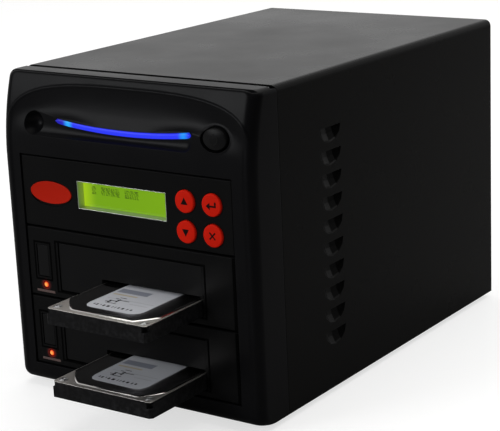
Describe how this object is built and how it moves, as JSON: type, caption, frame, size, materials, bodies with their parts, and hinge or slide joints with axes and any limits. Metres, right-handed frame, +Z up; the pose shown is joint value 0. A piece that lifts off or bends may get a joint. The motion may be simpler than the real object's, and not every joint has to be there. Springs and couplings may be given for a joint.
{
  "type": "hard drive duplicator",
  "caption": "Compact tower that copies hard drives: swept moulded front with lit curve, display panel and round keys over trayless bays whose drives slide out.",
  "frame": {"origin": "on the resting plane, under the middle of the overall bounding box", "axes": "+X to the right as seen from the front, +Y from the front to the rear, +Z up; the front with the display and bays faces -Y"},
  "size_m": [0.176, 0.3256, 0.1887],
  "materials": {
    "badge_red": "satin red",
    "bare_steel": "plated sheet steel",
    "bezel_plastic": "satin black moulded plastic",
    "black_plastic": "black moulded plastic",
    "black_steel": "fine-textured black powder coat",
    "blue_light": "clear light pipe, glowing blue",
    "board_green": "green circuit board",
    "cable_red": "red cable jacket",
    "cast_aluminium": "dark cast metal",
    "display_green": "yellow-green lit display window",
    "drive_lid": "smooth bright stamped metal",
    "key_red": "satin red moulded plastic",
    "module_plastic": "satin black moulded plastic",
    "red_lens": "clear lens, glowing red-orange",
    "rubber": "black rubber",
    "silver_frame": "bright satin metal"
  },
  "bodies": {
    "case": {"backplane_lower": "board_green", "backplane_upper": "board_green", "base_pan": "bare_steel", "bay_cage": "bare_steel", "case_fan_frame": "black_plastic", "control_tray": "bare_steel", "controller_board": "board_green", "cover_screw_1": "bare_steel", "cover_screw_2": "bare_steel", "cover_screw_3": "bare_steel", "cover_screw_4": "bare_steel", "data_cable_lower": "cable_red", "data_cable_upper": "cable_red", "fan_guard": "bare_steel", "foot_front_left": "rubber", "foot_front_right": "rubber", "foot_rear_left": "rubber", "foot_rear_right": "rubber", "front_bezel": "bezel_plastic", "key_board": "board_green", "lcd_board": "board_green", "lcd_frame": "silver_frame", "lcd_glass": "display_green", "lcd_panel": "module_plastic", "led_lens_lower": "red_lens", "led_lens_upper": "red_lens", "light_board": "board_green", "light_pipe": "blue_light", "mains_inlet": "black_plastic", "outer_cover": "black_steel", "oval_badge": "badge_red", "power_switch": "black_plastic", "psu_case": "bare_steel", "psu_fan_frame": "black_plastic", "rack_housing_lower": "module_plastic", "rack_housing_upper": "module_plastic", "rear_panel": "black_steel", "rocker_frame": "black_plastic"},
    "power_button": {"power_button": "black_plastic"},
    "key_up": {"key_up": "key_red"},
    "key_down": {"key_down": "key_red"},
    "key_enter": {"key_enter": "key_red"},
    "key_back": {"key_back": "key_red"},
    "eject_button_upper": {"eject_button_upper": "black_plastic"},
    "eject_button_lower": {"eject_button_lower": "black_plastic"},
    "rack_door_upper": {"rack_door_upper": "module_plastic"},
    "rack_door_lower": {"rack_door_lower": "module_plastic"},
    "slot_flap_upper": {"slot_flap_upper": "module_plastic"},
    "slot_flap_lower": {"slot_flap_lower": "module_plastic"},
    "drive_upper": {"drive_base_upper": "cast_aluminium", "drive_lid_upper": "drive_lid", "drive_board_upper": "board_green"},
    "drive_lower": {"drive_base_lower": "cast_aluminium", "drive_lid_lower": "drive_lid", "drive_board_lower": "board_green"},
    "rocker_switch": {"rocker_switch": "black_plastic"},
    "psu_fan_rotor": {"psu_fan_rotor": "black_plastic"},
    "case_fan_rotor": {"case_fan_rotor": "black_plastic"}
  },
  "joints": [
    {"name": "power_press", "type": "slide", "parent": "case", "child": "power_button", "axis": [0, 1, 0], "range_m": [0, 0.0025], "stiffness_N_per_m": 600, "springref_m": -0.001},
    {"name": "key_up_press", "type": "slide", "parent": "case", "child": "key_up", "axis": [0, 1, 0], "range_m": [0, 0.001], "stiffness_N_per_m": 800, "springref_m": -0.0005},
    {"name": "key_down_press", "type": "slide", "parent": "case", "child": "key_down", "axis": [0, 1, 0], "range_m": [0, 0.001], "stiffness_N_per_m": 800, "springref_m": -0.0005},
    {"name": "key_enter_press", "type": "slide", "parent": "case", "child": "key_enter", "axis": [0, 1, 0], "range_m": [0, 0.001], "stiffness_N_per_m": 800, "springref_m": -0.0005},
    {"name": "key_back_press", "type": "slide", "parent": "case", "child": "key_back", "axis": [0, 1, 0], "range_m": [0, 0.001], "stiffness_N_per_m": 800, "springref_m": -0.0005},
    {"name": "eject_press_upper", "type": "slide", "parent": "case", "child": "eject_button_upper", "axis": [0, 1, 0], "range_m": [0, 0.003], "stiffness_N_per_m": 500, "springref_m": -0.001},
    {"name": "rack_door_hinge_upper", "type": "hinge", "parent": "case", "child": "rack_door_upper", "pos_m": [0, -0.1114, 0.0896], "axis": [1, 0, 0], "range_deg": [0, 60], "stiffness_Nm_per_rad": 0.01, "springref_deg": -17.19},
    {"name": "slot_flap_hinge_upper", "type": "hinge", "parent": "rack_door_upper", "child": "slot_flap_upper", "pos_m": [0, -0.1103, 0.0734], "axis": [1, 0, 0], "range_deg": [0, 30], "stiffness_Nm_per_rad": 0.002, "springref_deg": -28.65},
    {"name": "drive_slide_upper", "type": "slide", "parent": "case", "child": "drive_upper", "axis": [0, 1, 0], "range_m": [-0.045, 0.0529]},
    {"name": "eject_press_lower", "type": "slide", "parent": "case", "child": "eject_button_lower", "axis": [0, 1, 0], "range_m": [0, 0.003], "stiffness_N_per_m": 500, "springref_m": -0.001},
    {"name": "rack_door_hinge_lower", "type": "hinge", "parent": "case", "child": "rack_door_lower", "pos_m": [0, -0.1114, 0.0473], "axis": [1, 0, 0], "range_deg": [0, 60], "stiffness_Nm_per_rad": 0.01, "springref_deg": -17.19},
    {"name": "slot_flap_hinge_lower", "type": "hinge", "parent": "rack_door_lower", "child": "slot_flap_lower", "pos_m": [0, -0.1103, 0.0311], "axis": [1, 0, 0], "range_deg": [0, 30], "stiffness_Nm_per_rad": 0.002, "springref_deg": -28.65},
    {"name": "drive_slide_lower", "type": "slide", "parent": "case", "child": "drive_lower", "axis": [0, 1, 0], "range_m": [-0.045, 0.0529]},
    {"name": "rocker_tip", "type": "hinge", "parent": "case", "child": "rocker_switch", "pos_m": [-0.0185, 0.15457, 0.1749], "axis": [0, 0, 1], "range_deg": [0, 18]},
    {"name": "psu_fan_spin", "type": "hinge", "parent": "case", "child": "psu_fan_rotor", "pos_m": [-0.0585, 0.1115, 0.16415], "axis": [0, 1, 0], "continuous": true},
    {"name": "case_fan_spin", "type": "hinge", "parent": "case", "child": "case_fan_rotor", "pos_m": [0, 0.1415, 0.07355], "axis": [0, 1, 0], "continuous": true}
  ]
}
